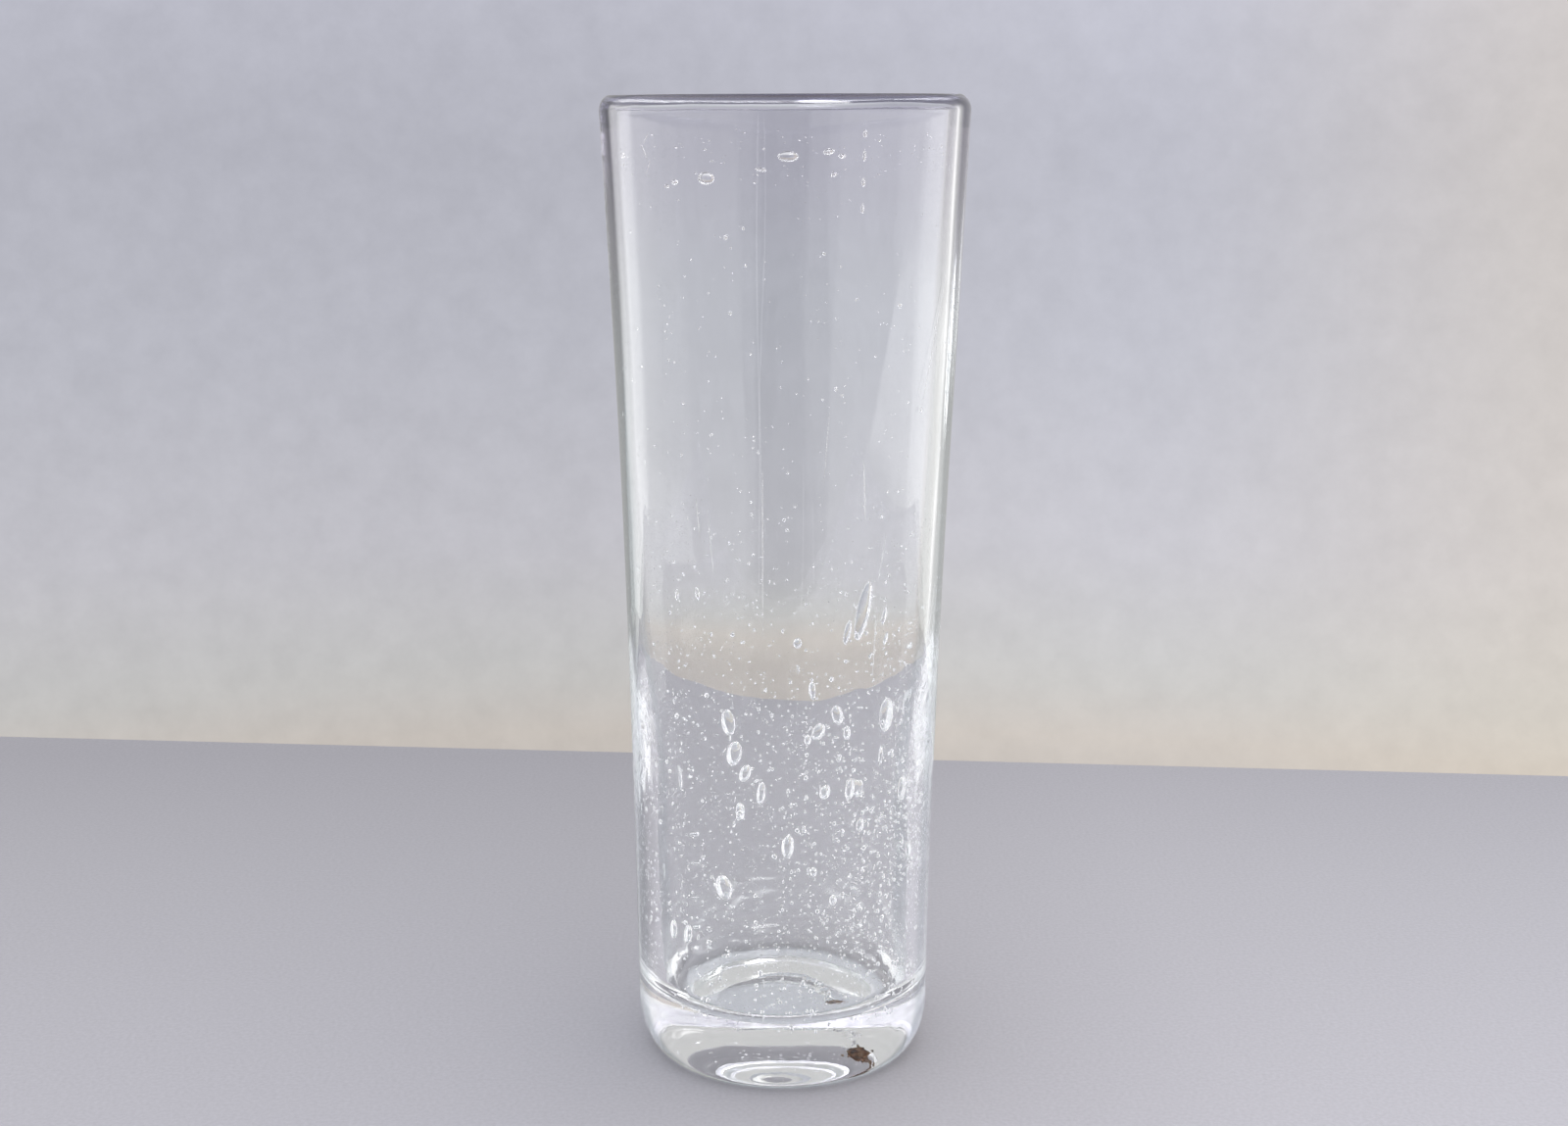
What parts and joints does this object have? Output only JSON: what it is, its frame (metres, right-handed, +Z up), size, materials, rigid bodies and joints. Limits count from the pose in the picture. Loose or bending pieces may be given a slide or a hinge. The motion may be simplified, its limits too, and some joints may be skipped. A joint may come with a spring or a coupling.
{
  "type": "glass cylinder vase",
  "caption": "Tall hand-blown vase of clear bubbly glass, slightly wider at the mouth, with a turned-in lip and a heavy clear foot.",
  "frame": {"origin": "centre of the resting ring, on the surface the vase stands on", "axes": "+Z up along the vase's axis, -Y towards the front, +X to the right seen from the front"},
  "size_m": [0.0924, 0.0924, 0.25],
  "materials": {
    "seeded_glass": "clear blown glass full of trapped air seeds",
    "casing_glass": "clear blown glass, fire polished, faintly wavy",
    "foot_glass": "thick clear glass, smooth, very faint green",
    "rim_glass": "fire-polished glass with a faint grey-violet tint",
    "scar_glass": "broken and fire-softened glass, rippled",
    "iron_scale": "rough brown iron scale and ash caught in the glass"
  },
  "bodies": {
    "root": {"inner_gather": "seeded_glass", "outer_gather": "casing_glass", "base_gather": "foot_glass", "rim_bead": "rim_glass", "pontil_scar": "scar_glass", "iron_fleck": "iron_scale"}
  },
  "joints": []
}
